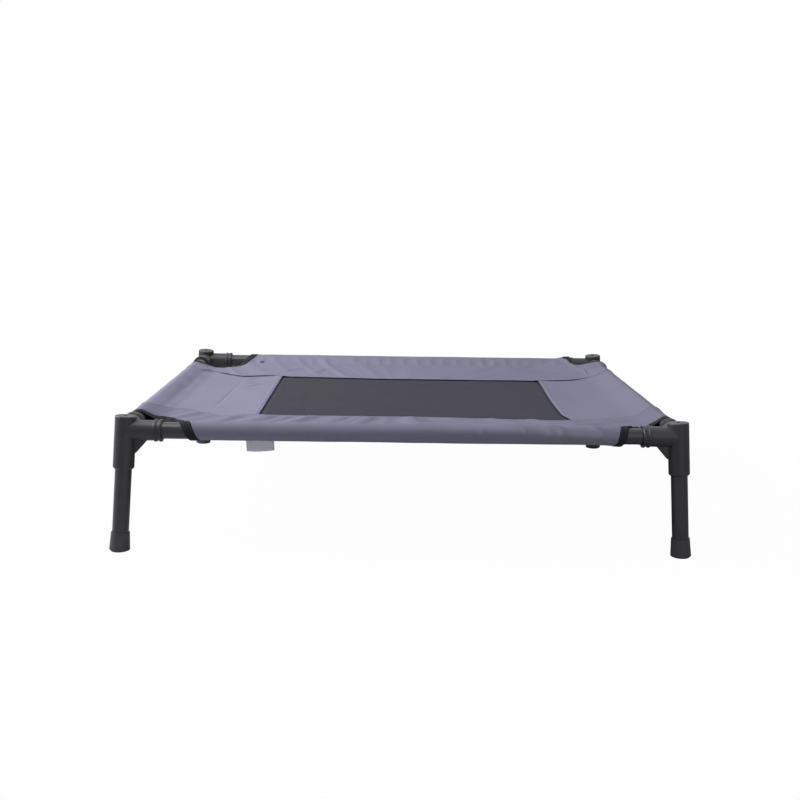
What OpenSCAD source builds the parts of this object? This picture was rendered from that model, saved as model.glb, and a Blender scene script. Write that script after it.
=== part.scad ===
// Raised dog cot: a tube frame on four splayed legs, with a cloth and mesh cover stretched over it.
// +X runs along the long side, +Y away from the front, +Z up. The origin is on the floor, under the centre.

/* [Frame] */
// Length between the post axes, at the height of the rails
frame_l = 736; // [500:1:1200]
// Width between the post axes, at the height of the rails
frame_w = 584; // [430:1:900]
// Height of the rail axes above the floor
rail_h = 163; // [130:1:300]
// Outside diameter of the tube that rails and legs are cut from
tube_d = 22; // [18:0.5:26]
// Wall of the tube
tube_wall = 1; // [0.6:0.1:2]
// Outward lean of each leg, the same seen from the front and from the side
leg_splay = 3.9; // [0:0.1:7]

/* [Corner fittings] */
// Radial clearance of a tube in its socket
tube_play = 0.1; // [0.05:0.01:0.15]
// Wall of a rail socket
socket_wall = 2.5; // [1.6:0.1:4]
// Distance from the post axis to a socket's mouth
socket_reach = 49.5; // [40:0.5:70]
// Plastic between the post's surface and a rail's end
stop_wall = 2.5; // [1:0.1:6]
// Width of the collar at a socket's mouth
collar_w = 10.5; // [8:0.5:16]
// Height of the collar's two ribs above the socket
rib_h = 1.4; // [0.4:0.1:3]
// Width of each rib
rib_w = 3.8; // [2:0.1:3.9]
// Chamfer of a rib's edges
rib_edge = 0.8; // [0.2:0.1:0.9]
// Wall of the post round the leg
post_wall = 2.9; // [2:0.1:5]
// Height of the post's top above the rail axes
post_rise = 19.5; // [16:0.5:30]
// Length of the post below the rail axes
post_drop = 52; // [45:0.5:70]
// Rounding of the post's top edge
post_round = 1.6; // [0.5:0.1:3]
// Chamfer of the post's bottom edge
post_chamfer = 2; // [0.5:0.1:2.5]
// Depth that a leg is pushed into its post
leg_depth = 36; // [20:0.5:40]
// Thickness of the web under each socket
web_t = 9; // [4:0.5:14]
// Reach of the web along the socket, from the post axis
web_reach = 28.5; // [20:0.5:36]
// Drop of the web down the post, from the rail axes
web_drop = 30; // [20:0.5:40]
// Diameter of the blind recess in the post's top
recess_d = 5.5; // [3:0.1:8]
// Depth of that recess
recess_depth = 1.5; // [0.5:0.1:4]

/* [Feet] */
// Height of a rubber foot
foot_h = 25; // [15:0.5:40]
// Wall of the foot round the leg, at the foot's top
foot_wall = 1.3; // [0.8:0.1:3]
// Further widening of the foot's radius down to the floor
foot_flare = 1.4; // [0:0.1:3]
// Rubber between the leg's end and the floor
foot_floor = 4; // [2.5:0.5:10]
// Chamfer of the foot's bottom edge
foot_edge = 2.5; // [0.5:0.1:3]
// Radial clearance of the leg in its foot
foot_play = 0.05; // [0.01:0.01:0.1]
// Gap between a leg's top and the end of its socket
leg_gap = 0.2; // [0.1:0.05:0.5]

/* [Cover] */
// Thickness of the cloth
cloth_t = 1; // [0.6:0.1:1.6]
// Clearance of a sleeve round its rail
sleeve_play = 0.4; // [0.2:0.1:1]
// Distance from a rail's axis to the stitch line that closes its sleeve
pocket_w = 32.5; // [24:0.5:45]
// Depth of the bed's flat middle below the rail axes
bed_sag = 7; // [2:0.5:20]
// Distance from a rail's axis to the edge of the flat middle
slope_w = 120; // [80:1:120]
// Width of the front and back strips, from the rail axis to the seam
strip_w = 135; // [125:1:180]
// Width of the left end panel, from the rail axis to the mesh
left_panel_w = 158; // [125:1:240]
// Width of the right end panel, from the rail axis to the mesh
right_panel_w = 123; // [123:1:240]

/* [Corner cut-outs] */
// Gap in plan between the front left fitting's sockets and the cover
front_left_gap = 21; // [0.5:0.1:50]
// Gap in plan between the front right fitting's sockets and the cover
front_right_gap = 12; // [0.5:0.1:50]
// Gap in plan between the back left fitting's sockets and the cover
back_left_gap = 25; // [0.5:0.1:50]
// Gap in plan between the back right fitting's sockets and the cover
back_right_gap = 0.8; // [0.5:0.1:50]
// Width of the edging tape
binding_w = 12; // [6:0.5:16]

/* [Label] */
// Distance from the left rail's axis to the label's centre
label_from_left = 174.5; // [140:0.5:300]
// Width of the label
label_w = 38; // [20:0.5:60]
// Length that hangs down
label_l = 34; // [15:0.5:40]
// Thickness of the label
label_t = 0.8; // [0.4:0.1:1.2]
// Gap between the label and the seam that it hangs from
label_gap = 0.05; // [0.02:0.01:0.2]

/* [Hidden] */
$fn = 96;
tube_r = tube_d / 2;
bore_r = tube_r + tube_play;
socket_r = bore_r + socket_wall;
collar_r = socket_r + rib_h;
post_r = bore_r + post_wall;
// Lean of a leg in the diagonal plane that it leans in
lean = atan(sqrt(2) * tan(leg_splay));
// Distances down a leg's axis, from the rail axes
floor_drop = rail_h / cos(lean);
leg_top_drop = post_drop - leg_depth + leg_gap;
leg_end_drop = floor_drop - foot_floor;
foot_top_r = tube_r + foot_wall;
foot_bottom_r = foot_top_r + foot_flare;
// Length below the floor that a leaning foot has before the floor cuts it flat
foot_spare = foot_bottom_r * sin(lean);
rail_inset = post_r + stop_wall;
// Distance in plan from a post's axis to the far edge of a socket's collar
fitting_reach = norm([socket_reach, collar_r]);
sleeve_in_r = tube_r + sleeve_play;
sleeve_out_r = sleeve_in_r + cloth_t;
// Distance from the centre line to the seams of the front and back strips
seam_y = frame_w / 2 - strip_w;
// Distance past the rails that the cover's plan areas run
outside = 2 * sleeve_out_r;
// Distance past a shape's edge that a cutting shape runs
past = 1;
// Flats that stand for the round of a cloth sleeve
arc_steps = 24;

fitting_colour = [0.16, 0.16, 0.17];
tube_colour = [0.17, 0.17, 0.18];
rubber_colour = [0.13, 0.13, 0.14];
cloth_colour = [0.54, 0.53, 0.61];
mesh_colour = [0.31, 0.30, 0.34];
tape_colour = [0.15, 0.15, 0.16];
label_colour = [0.62, 0.61, 0.67];

// A corner is [side along X, side along Y, gap between its fitting and the cover].
front_left = [-1, -1, front_left_gap];
front_right = [1, -1, front_right_gap];
back_left = [-1, 1, back_left_gap];
back_right = [1, 1, back_right_gap];

// Turns what is drawn at the front left to a given side along X and along Y.
module on_side(x_side, y_side) {
  mirror([x_side > 0 ? 1 : 0, 0, 0])
    mirror([0, y_side > 0 ? 1 : 0, 0])
      children();
}

// Draws children at a corner's rail crossing, with +X and +Y pointing along its rails.
module at_corner(corner) {
  translate([corner[0] * frame_l / 2, corner[1] * frame_w / 2, rail_h])
    on_side(corner[0], corner[1]) children();
}

// Leans children about the rail crossing, so that -Z runs down the splayed leg.
module leaning() {
  rotate(a = lean, v = [-1, 1, 0]) children();
}

// Lays children that stand on Z along +X.
module lying_x() {
  rotate([0, 90, 0]) children();
}

// Lays children that stand on Z along +Y.
module lying_y() {
  rotate([-90, 0, 0]) children();
}

module ring_tube(outer_r, inner_r, length) {
  difference() {
    cylinder(r = outer_r, h = length);
    translate([0, 0, -past]) cylinder(r = inner_r, h = length + 2 * past);
  }
}

module post_solid() {
  rotate_extrude() {
    polygon([
      [0, -post_drop],
      [post_r - post_chamfer, -post_drop],
      [post_r, -post_drop + post_chamfer],
      [post_r, post_rise - post_round],
      [post_r - post_round, post_rise],
      [0, post_rise]
    ]);
    translate([post_r - post_round, post_rise - post_round]) circle(r = post_round);
  }
}

// Outline of a collar's rib that starts at a height.
function rib(start) = [
  [socket_r, start],
  [collar_r - rib_edge, start],
  [collar_r, start + rib_edge],
  [collar_r, start + rib_w - rib_edge],
  [collar_r - rib_edge, start + rib_w],
  [socket_r, start + rib_w]
];

module socket_solid() {
  rotate_extrude()
    polygon(concat(
      [[0, 0], [socket_r, 0]],
      rib(socket_reach - collar_w),
      rib(socket_reach - rib_w),
      [[0, socket_reach]]
    ));
}

module rail_bore() {
  translate([0, 0, rail_inset]) cylinder(r = bore_r, h = socket_reach - rail_inset + past);
}

// Web under the +X socket, in the plane of its axis.
module web_solid() {
  rotate([90, 0, 0])
    linear_extrude(web_t, center = true)
      polygon([[0, 0], [web_reach, 0], [web_reach, -socket_r], [post_r, -web_drop], [0, -web_drop]]);
}

module corner_fitting(corner) {
  color(fitting_colour) at_corner(corner) difference() {
    union() {
      leaning() post_solid();
      lying_x() socket_solid();
      lying_y() socket_solid();
      web_solid();
      mirror([1, -1, 0]) web_solid();
    }
    lying_x() rail_bore();
    lying_y() rail_bore();
    leaning() {
      translate([0, 0, -post_drop - past]) cylinder(r = bore_r, h = leg_depth + past);
      translate([0, 0, post_rise - recess_depth]) cylinder(d = recess_d, h = recess_depth + past);
    }
  }
}

module leg(corner) {
  color(tube_colour) at_corner(corner) leaning()
    translate([0, 0, -leg_end_drop])
      ring_tube(tube_r, tube_r - tube_wall, leg_end_drop - leg_top_drop);
}

// Outline of a foot's outside from the leg's axis down to the floor and up to the foot's top.
function foot_outline(bottom, top) = [
  [0, bottom],
  [foot_bottom_r - foot_edge, bottom],
  [foot_bottom_r, bottom + foot_edge],
  [foot_top_r, top],
  [0, top]
];

// A rubber boot: round the leg's end, flared, and cut flat by the floor.
module foot(corner) {
  color(rubber_colour) intersection() {
    at_corner(corner) leaning() difference() {
      rotate_extrude() polygon(foot_outline(-floor_drop - foot_spare, -floor_drop + foot_h));
      translate([0, 0, -leg_end_drop]) cylinder(r = tube_r + foot_play, h = leg_end_drop);
    }
    translate([-frame_l, -frame_w, 0]) cube([2 * frame_l, 2 * frame_w, rail_h]);
  }
}

// A rail along X, at the front (-1) or the back (1).
module long_rail(side) {
  color(tube_colour)
    translate([rail_inset - frame_l / 2, side * frame_w / 2, rail_h])
      lying_x() ring_tube(tube_r, tube_r - tube_wall, frame_l - 2 * rail_inset);
}

// A rail along Y, at the left (-1) or the right (1).
module side_rail(side) {
  color(tube_colour)
    translate([side * frame_l / 2, rail_inset - frame_w / 2, rail_h])
      lying_y() ring_tube(tube_r, tube_r - tube_wall, frame_w - 2 * rail_inset);
}

// Cloth round a tube: an arc of steps from the place where the cloth leaves the tube for its stitch line.
function leaves_at(r, point) = acos(r / point);
function round_arc(r, from) =
  [for (i = [0:arc_steps]) let (a = from + i * (360 - 2 * from) / arc_steps) r * [cos(a), sin(a)]];

// Section of the cover across a rail: X is the distance in from the rail's axis, Y the height above it.
module cover_section(reach) {
  half_t = cloth_t / 2;
  leaves = leaves_at(sleeve_out_r, pocket_w);
  // Along a sleeve's flank, the cloth meets the top and bottom of the single layer here.
  sewn = pocket_w - half_t * tan(leaves);
  difference() {
    polygon(concat(
      round_arc(sleeve_out_r, leaves),
      [
        [sewn, -half_t],
        [pocket_w, -half_t],
        [slope_w, -half_t - bed_sag],
        [reach, -half_t - bed_sag],
        [reach, half_t - bed_sag],
        [slope_w, half_t - bed_sag],
        [pocket_w, half_t],
        [sewn, half_t]
      ]
    ));
    polygon(concat(round_arc(sleeve_in_r, leaves), [[pocket_w * sleeve_in_r / sleeve_out_r, 0]]));
  }
}

// Cover along the front rail, over the length between the post axes and a little more.
module cover_along_front() {
  translate([-frame_l / 2 - outside, -frame_w / 2, rail_h])
    rotate([90, 0, 90])
      linear_extrude(frame_l + 2 * outside) cover_section(strip_w + past);
}

// Cover along the left rail, between two places along Y.
module cover_along_left(from_y, to_y, reach) {
  translate([-frame_l / 2, to_y, rail_h])
    rotate([90, 0, 0])
      linear_extrude(to_y - from_y) cover_section(reach);
}

// Plan areas of the front strip: before the front rail's mitres, and beside the left rail.
module front_area() {
  x = frame_l / 2;
  y = -frame_w / 2;
  polygon([
    [-x - outside, y - outside],
    [x + outside, y - outside],
    [x - strip_w, y + strip_w],
    [strip_w - x, y + strip_w]
  ]);
}

module left_area() {
  x = -frame_l / 2;
  y = -frame_w / 2;
  polygon([[x - outside, y - outside], [x + strip_w, y + strip_w], [x - outside, y + strip_w]]);
}

// A plan area, raised past the top of the cover.
module upright() {
  linear_extrude(2 * rail_h) children();
}

// The left end of the front strip, before its corner is cut out.
module strip_left_end() {
  intersection() {
    cover_along_left(-frame_w / 2 - outside, strip_w - frame_w / 2, strip_w + past);
    upright() left_area();
  }
}

// The front strip with its tape, before its corners are cut out.
module whole_front_strip() {
  intersection() {
    cover_along_front();
    upright() front_area();
  }
  strip_left_end();
  mirror([1, 0, 0]) strip_left_end();
}

// Upright cylinder of a corner's round cut-out, grown by some tape.
module cut_out(corner, grown) {
  at_corner(corner)
    translate([0, 0, -rail_h])
      cylinder(r = fitting_reach + corner[2] + grown, h = 2 * rail_h);
}

// A long strip of the cover, between its left and right corners.
module strip(left, right) {
  color(cloth_colour) difference() {
    on_side(-1, left[1]) whole_front_strip();
    cut_out(left, binding_w);
    cut_out(right, binding_w);
  }
}

// The cloth between the strips at the left (-1) or right (1) end of the mesh.
module end_panel(side, width) {
  color(cloth_colour) on_side(side, -1) cover_along_left(-seam_y, seam_y, width);
}

module mesh_panel() {
  x0 = left_panel_w - frame_l / 2;
  x1 = frame_l / 2 - right_panel_w;
  color(mesh_colour)
    translate([x0, -seam_y, rail_h - bed_sag - cloth_t / 2])
      cube([x1 - x0, 2 * seam_y, cloth_t]);
}

// The edging tape round a corner's cut-out, with a cuff round each of its two rails.
module binding(corner) {
  color(tape_colour) intersection() {
    on_side(-1, corner[1]) whole_front_strip();
    difference() {
      cut_out(corner, binding_w);
      cut_out(corner, 0);
    }
  }
}

// A tab that hangs from the seam of the front sleeve.
module care_label() {
  back_y = pocket_w + label_t + cloth_t;
  seam_drop = cloth_t / 2 + bed_sag * (back_y - pocket_w) / (slope_w - pocket_w);
  color(label_colour)
    translate([
      label_from_left - frame_l / 2 - label_w / 2,
      back_y - label_t - frame_w / 2,
      rail_h - seam_drop - label_gap - label_l
    ])
      cube([label_w, label_t, label_l]);
}

corner_fitting(front_left);  // front_left_corner
corner_fitting(front_right);  // front_right_corner
corner_fitting(back_left);  // back_left_corner
corner_fitting(back_right);  // back_right_corner
long_rail(-1);  // front_rail
long_rail(1);  // back_rail
side_rail(-1);  // left_rail
side_rail(1);  // right_rail
leg(front_left);  // front_left_leg
leg(front_right);  // front_right_leg
leg(back_left);  // back_left_leg
leg(back_right);  // back_right_leg
foot(front_left);  // front_left_foot
foot(front_right);  // front_right_foot
foot(back_left);  // back_left_foot
foot(back_right);  // back_right_foot
mesh_panel();
end_panel(-1, left_panel_w);  // left_end_panel
end_panel(1, right_panel_w);  // right_end_panel
strip(front_left, front_right);  // front_strip
strip(back_left, back_right);  // back_strip
binding(front_left);  // front_left_binding
binding(front_right);  // front_right_binding
binding(back_left);  // back_left_binding
binding(back_right);  // back_right_binding
care_label();
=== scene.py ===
"""Raised dog cot: painted tubes in moulded corners, rubber feet, and a sewn cloth bed stretched on the rails.

All sizes are in metres. The cloth is laid out on a flat pattern first: u runs along the long rails, v along
the side rails, and both keep counting where the cloth turns round a rail. cover_point() lifts a place on that
pattern to its place on the cot. A side is -1 at the left or the front, and 1 at the right or the back.
"""

import math

import bmesh
import bpy
from mathutils import Matrix, Vector, noise


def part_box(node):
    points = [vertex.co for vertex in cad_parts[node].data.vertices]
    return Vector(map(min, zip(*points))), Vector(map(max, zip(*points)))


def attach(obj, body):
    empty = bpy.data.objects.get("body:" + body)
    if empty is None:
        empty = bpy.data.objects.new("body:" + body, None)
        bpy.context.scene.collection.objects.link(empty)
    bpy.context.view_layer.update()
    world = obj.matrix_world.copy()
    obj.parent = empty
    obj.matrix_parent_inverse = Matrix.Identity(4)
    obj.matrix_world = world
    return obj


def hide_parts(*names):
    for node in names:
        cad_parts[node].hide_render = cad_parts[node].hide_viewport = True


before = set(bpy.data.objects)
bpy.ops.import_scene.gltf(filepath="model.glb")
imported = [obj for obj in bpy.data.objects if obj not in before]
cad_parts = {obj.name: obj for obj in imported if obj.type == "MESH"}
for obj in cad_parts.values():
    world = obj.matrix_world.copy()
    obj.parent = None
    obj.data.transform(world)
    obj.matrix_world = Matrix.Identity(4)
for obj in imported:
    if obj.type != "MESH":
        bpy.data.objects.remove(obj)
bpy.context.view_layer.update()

# Camera of the photograph
CAMERA_PLACE = Vector((-0.0170, -1.5851, 0.4686))
CAMERA_PITCH = 0.1986
CAMERA_ROLL = 0.0149
CAMERA_YAW = -0.0099
CAMERA_LENS = 44.93
SENSOR_W = 36.0

# Layers of the cover: strips and end panels, with the mesh under them
CLOTH_T = 0.00045
LAYER_GAP = 0.00005
LAYER = CLOTH_T + LAYER_GAP
PANEL_LIFT = LAYER / 2
MESH_LIFT = PANEL_LIFT - 2 * LAYER

# Pockets round the rails, hems, laps and edging tape
POCKET_W = 0.0325
POCKET_ROUND = 0.006
LEFT_POCKET_ROUND = 0.008
RIGHT_POCKET_ROUND = 0.012
POCKET_ROUND_RISE = 0.06
SLOPE_W = 0.130
HEM_W = 0.009
HEM_CLEAR = 0.012
LAP_W = 0.010
LAP_FLAT = 0.011
LAP_RAMP = 0.014
RAIL_LAP_RAMP = 0.030
TAPE_W = 0.012
FLARE_FLAT = 0.006
FLARE_RAMP = 0.022
END_BLEND = 0.22

# How far the mesh and the end panels hang under the edges that are sewn on them
MESH_HANG = 0.0016
PANEL_HANG = 0.0013
HANG_W = 0.009
HANG_START = 0.005
HANG_RAMP = 0.004

# Spacing of points on the cloth, closer at hems, stitch lines and the crease
CELL = 0.0030
WRAP_CELL = 0.002
HEM_CELLS = 3
TAPE_CELLS = 4
MIN_ARC_CELLS = 2
HEM_STEPS = (0, 0.0011, 0.0022, 0.0034, 0.0045, 0.0056, 0.0068, 0.0079, 0.0092, 0.0110)
HEM_DEPTH = HEM_STEPS[-1]
LAST_HEM_ROW = len(HEM_STEPS) - 1
RAIL_STEPS = (0, 0.0008, 0.0018, 0.0035, 0.0060)
CREASE_STEPS = (-0.0016, -0.0006, 0, 0.0006, 0.0016)
AXIS_STEP = 0.0006
TURN_SPAN = 2

# Stitches, in rows so far from an edge or a stitch line
STITCH_PITCH = 0.0036
STITCH_L = 0.0027
STITCH_W = 0.0006
STITCH_H = 0.00045
STITCH_SIDES = 6
STITCH_RINGS = (-0.8, 0.0, 0.8)
SEAM_ROWS = (0.0022, 0.0068)
TAPE_ROWS = (0.0025, 0.0095)
END_ROWS = (-0.0025, 0.0025)

# Dark tack that ends the back pocket's seam at the left: bars of stitches, and a tail
TACK_U = -0.2615
TACK_BARS = 15
TACK_BAR_PITCH = 0.0005
TACK_BAR_STITCHES = 2
TACK_TAIL_STITCHES = 5

# Label
LABEL_ROWS = 10
LABEL_COLUMNS = 14
LABEL_T = 0.00025
LABEL_FOLD = 0.0003
LABEL_BOW = 0.0022
LABEL_TILT = 0.0009
LABEL_DIP = 0.0006
LABEL_SKEW = 0.0014


def middle(node):
    low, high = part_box(node)
    return (low + high) / 2


RAIL_X = middle("right_rail").x
RAIL_Y = middle("back_rail").y
RAIL_Z = middle("front_rail").z
MESH_LOW, MESH_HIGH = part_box("mesh_panel")
BED_SAG = RAIL_Z - middle("mesh_panel").z
SLEEVE_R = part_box("back_strip")[1].y - RAIL_Y - CLOTH_T
STITCH_X = RAIL_X - POCKET_W
STITCH_Y = RAIL_Y - POCKET_W
HEM_END = STITCH_X - HEM_CLEAR

# Run of the cloth from its stitch line: up a flank, round the tube and back along the lower flank
LEAVES = math.acos(SLEEVE_R / POCKET_W)
FLANK = math.sqrt(POCKET_W**2 - SLEEVE_R**2)
WRAP = SLEEVE_R * (2 * math.pi - 2 * LEAVES)
ROUND = 2 * FLANK + WRAP
TOP_RUN = FLANK + SLEEVE_R * (math.pi / 2 - LEAVES)
BOTTOM_RUN = FLANK + SLEEVE_R * (3 * math.pi / 2 - LEAVES)


def side_of(value):
    return 1 if value > 0 else -1


def lerp(a, b, share):
    return a + (b - a) * share


def ease(share):
    share = min(max(share, 0.0), 1.0)
    return share * share * (3 - 2 * share)


def bump(away, width):
    return math.exp(-((away / width) ** 2))


def stations(start, end, cell=CELL):
    """Evenly spaced values from start to end, about one cell apart."""
    count = max(1, round(abs(end - start) / cell))
    return [lerp(start, end, i / count) for i in range(count + 1)]


def fill_counts(blocks):
    return [max(1, round(abs(after[0] - before[-1]) / CELL)) for before, after in zip(blocks, blocks[1:])]


def filled(blocks, counts=None):
    """Joins blocks of values with an even fill between each two, of about one cell or of so many cells."""
    line = list(blocks[0])
    for block, count in zip(blocks[1:], counts or fill_counts(blocks)):
        start = line[-1]
        line += [lerp(start, block[0], i / count) for i in range(1, count)] + list(block)
    return line


def quads(grid):
    """Faces between the rows of a grid of point numbers."""
    return [
        (near[i], near[i + 1], far[i + 1], far[i])
        for near, far in zip(grid, grid[1:])
        for i in range(len(near) - 1)
    ]


# Shape of the stretched cover


class Corner:
    """A cut-out of the cover at a corner of the frame.

    Its sizes are where the cloth stops and the edging tape starts, from the crossing of the rails: reach on
    the bed, and long_top and side_top on top of the long and the side rail. The slants say how the ends of
    those sleeves lean further down, and rise how far the bed's edge is pulled up, or hangs down, over rise_w.
    The tape is tape_w wide, and cuff_w on the long rail. Both sleeves flare so far over the collars.
    """

    def __init__(
        self, name, side_x, side_y, reach, long_top, side_top, slants, rise, rise_w,
        tape_w=TAPE_W, cuff_w=None, flare=0.0,
    ):
        self.name, self.side_x, self.side_y = name, side_x, side_y
        self.tape_w = tape_w
        self.cuff_w = cuff_w or tape_w
        self.reach = reach - tape_w
        self.long_top, self.side_top = long_top - self.cuff_w, side_top - tape_w
        self.long_slant, self.side_slant = slants
        self.rise, self.rise_w = rise, rise_w
        self.flare = flare

    def sleeve_end(self, run, top, slant):
        """Distance from the rails' crossing to a sleeve's end, at a run of cloth round the rail."""
        start = math.sqrt(self.reach**2 - POCKET_W**2)
        if run < TOP_RUN:
            return lerp(start, top, run / TOP_RUN)
        end = top + slant * (min(run, BOTTOM_RUN) - TOP_RUN)
        return end if run <= ROUND else max(start, end) + self.tape_w / 2

    def side_place(self, run):
        """Place of the end of the side rail's sleeve."""
        end = self.sleeve_end(run, self.side_top, self.side_slant)
        return self.side_x * (STITCH_X + run), self.side_y * (RAIL_Y - end)

    def long_place(self, run):
        """Place of the end of the long rail's sleeve."""
        end = self.sleeve_end(run, self.long_top, self.long_slant)
        return self.side_x * (RAIL_X - end), self.side_y * (STITCH_Y + run)

    def arc_place(self, share):
        """Place on the round edge, from the side rail's stitch line to the long rail's."""
        first = math.asin(POCKET_W / self.reach)
        turn = lerp(first, math.pi / 2 - first, share)
        return (
            self.side_x * (RAIL_X - self.reach * math.sin(turn)),
            self.side_y * (RAIL_Y - self.reach * math.cos(turn)),
        )

    def lift_at(self, x, y, run):
        """How far the cut-out pulls the cloth up, at a run past the stitch line."""
        away = math.hypot(RAIL_X - abs(x), RAIL_Y - abs(y)) - self.reach
        if away > self.rise_w:
            return 0.0
        hold = 1 - ease(run / TOP_RUN) if run < TOP_RUN else ease((run - BOTTOM_RUN) / (ROUND - BOTTOM_RUN))
        return self.rise * hold * (1 - ease(away / self.rise_w))

    def flare_at(self, u, v):
        """How far a sleeve stands off its rail, to pass over the collar."""
        if not self.flare:
            return 0.0
        run, past_end = abs(u) - STITCH_X, RAIL_Y - abs(v) - self.side_top
        if abs(v) > STITCH_Y:
            run, past_end = abs(v) - STITCH_Y, RAIL_X - abs(u) - self.long_top
        hold = ease(run / FLANK) * ease((ROUND - run) / FLANK)
        return self.flare * hold * (1 - ease((past_end - FLARE_FLAT) / FLARE_RAMP))


CUT_OUTS = (
    Corner(
        "front_left", -1, -1, reach=0.092, long_top=0.084, side_top=0.0745,
        slants=(0.46, 0.1), rise=-0.0050, rise_w=0.014,
    ),
    Corner(
        "front_right", 1, -1, reach=0.057, long_top=0.0775, side_top=0.071,
        slants=(0.28, 0.1), rise=0.0015, rise_w=0.06, tape_w=0.010,
    ),
    Corner(
        "back_left", -1, 1, reach=0.090, long_top=0.099, side_top=0.094,
        slants=(0.15, 0.1), rise=-0.0030, rise_w=0.014,
    ),
    Corner(
        "back_right", 1, 1, reach=0.060, long_top=0.059, side_top=0.053,
        slants=(0.1, 0.1), rise=0.0080, rise_w=0.075, tape_w=0.005, cuff_w=0.013, flare=0.0034,
    ),
)
CORNERS = {(corner.side_x, corner.side_y): corner for corner in CUT_OUTS}

# How far outwards a strip's seam is eased, and towards which end of the mesh
SEAM_EASES = {-1: (0.0115, MESH_HIGH.x), 1: (0.009, MESH_LOW.x)}

# Bends in a strip's seam: place along it, half width and how far outwards
SEAM_BENDS = {
    -1: ((-0.366, 0.014, 0.013), (-0.318, 0.024, -0.012), (-0.256, 0.018, 0.015), (0.370, 0.020, -0.018)),
    1: (
        (-0.372, 0.012, -0.012),
        (-0.352, 0.012, -0.018),
        (-0.280, 0.020, -0.009),
        (-0.228, 0.022, 0.006),
        (0.310, 0.040, -0.007),
        (0.374, 0.013, 0.010),
    ),
}

# Right panel's edge on the mesh: a bow inwards and a flare at the front, each with its start and ramp
EDGE_BOW = 0.0053
BOW_FROM_BACK = (0.16, 0.2)
BOW_FROM_FRONT = (-0.168, 0.05)
EDGE_FLARE = 0.0038
FLARE_TO_FRONT = (-0.128, 0.038)


def seam_v(side, u):
    """Place of a strip's seam: eased outwards at one end of the mesh, and bent beside it."""
    out, end_u = SEAM_EASES[side]
    bends = sum(bend * bump(u - place, width) for place, width, bend in SEAM_BENDS[side])
    return side * (MESH_HIGH.y + out * ease(u / end_u) + bends)


def mesh_edge_u(side, v):
    """Place of an end panel's edge on the mesh: straight at the left, bowed and flared at the right."""
    if side < 0:
        return MESH_LOW.x
    flare = EDGE_FLARE * ease((FLARE_TO_FRONT[0] - v) / FLARE_TO_FRONT[1])
    bow = EDGE_BOW * ease((BOW_FROM_BACK[0] - v) / BOW_FROM_BACK[1])
    return MESH_HIGH.x + flare - bow * ease((v - BOW_FROM_FRONT[0]) / BOW_FROM_FRONT[1])


def past_mesh(u):
    return max(u - MESH_HIGH.x, MESH_LOW.x - u)


def bed_drop(x, y):
    """How far the stretched bed lies under the rails' axes."""
    drop = BED_SAG
    for inward in (RAIL_X - abs(x), RAIL_Y - abs(y)):
        left = 1 - min(max((inward - POCKET_W) / (SLOPE_W - POCKET_W), 0.0), 1.0)
        drop *= 1 - left * left
    return drop


def pocket_round(run, width):
    """Rise that rounds the bend at the foot of a pocket, over so far each way."""
    return POCKET_ROUND_RISE * max(width - abs(run), 0.0) ** 2 / width


def round_rail(run):
    """Distance in from a rail's axis, and height above it, at a run of cloth from the stitch line."""
    top_in, top_up = SLEEVE_R * math.cos(LEAVES), SLEEVE_R * math.sin(LEAVES)
    if run < FLANK:
        return lerp(POCKET_W, top_in, run / FLANK), lerp(0, top_up, run / FLANK)
    if run < FLANK + WRAP:
        turn = LEAVES + (run - FLANK) / SLEEVE_R
        return SLEEVE_R * math.cos(turn), SLEEVE_R * math.sin(turn)
    if run < ROUND:
        left = (ROUND - run) / FLANK
        return lerp(POCKET_W, top_in, left), lerp(0, -top_up, left)
    return POCKET_W + run - ROUND, 0.0


def plain_point(u, v):
    """Place on the cot of a place on the pattern, with no folds in the cloth."""
    x, y, run = u, v, 0.0
    height = pocket_round(abs(v) - STITCH_Y, POCKET_ROUND)
    height += pocket_round(abs(u) - STITCH_X, LEFT_POCKET_ROUND if u < 0 else RIGHT_POCKET_ROUND)
    if abs(v) > STITCH_Y:
        run = abs(v) - STITCH_Y
        inward, up = round_rail(run)
        y, height = math.copysign(RAIL_Y - inward, v), height + up
    elif abs(u) > STITCH_X:
        run = abs(u) - STITCH_X
        inward, up = round_rail(run)
        x, height = math.copysign(RAIL_X - inward, u), height + up
    corner = CORNERS[side_of(u), side_of(v)]
    return Vector((x, y, RAIL_Z + height - bed_drop(x, y) + corner.lift_at(x, y, run)))


def cover_axes(u, v):
    """Directions of u and v on the cot, and the cloth's outward normal."""
    along_u = plain_point(u + AXIS_STEP, v) - plain_point(u - AXIS_STEP, v)
    along_v = plain_point(u, v + AXIS_STEP) - plain_point(u, v - AXIS_STEP)
    along_u.normalize()
    along_v.normalize()
    return along_u, along_v, along_u.cross(along_v).normalized()


# Long crease of the left panel, nearly along the panel, and the front sleeve's shoulder
CREASE_U = -0.2775
CREASE_LEAN = 0.04
SHOULDER = -STITCH_Y - TOP_RUN - 0.016

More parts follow.
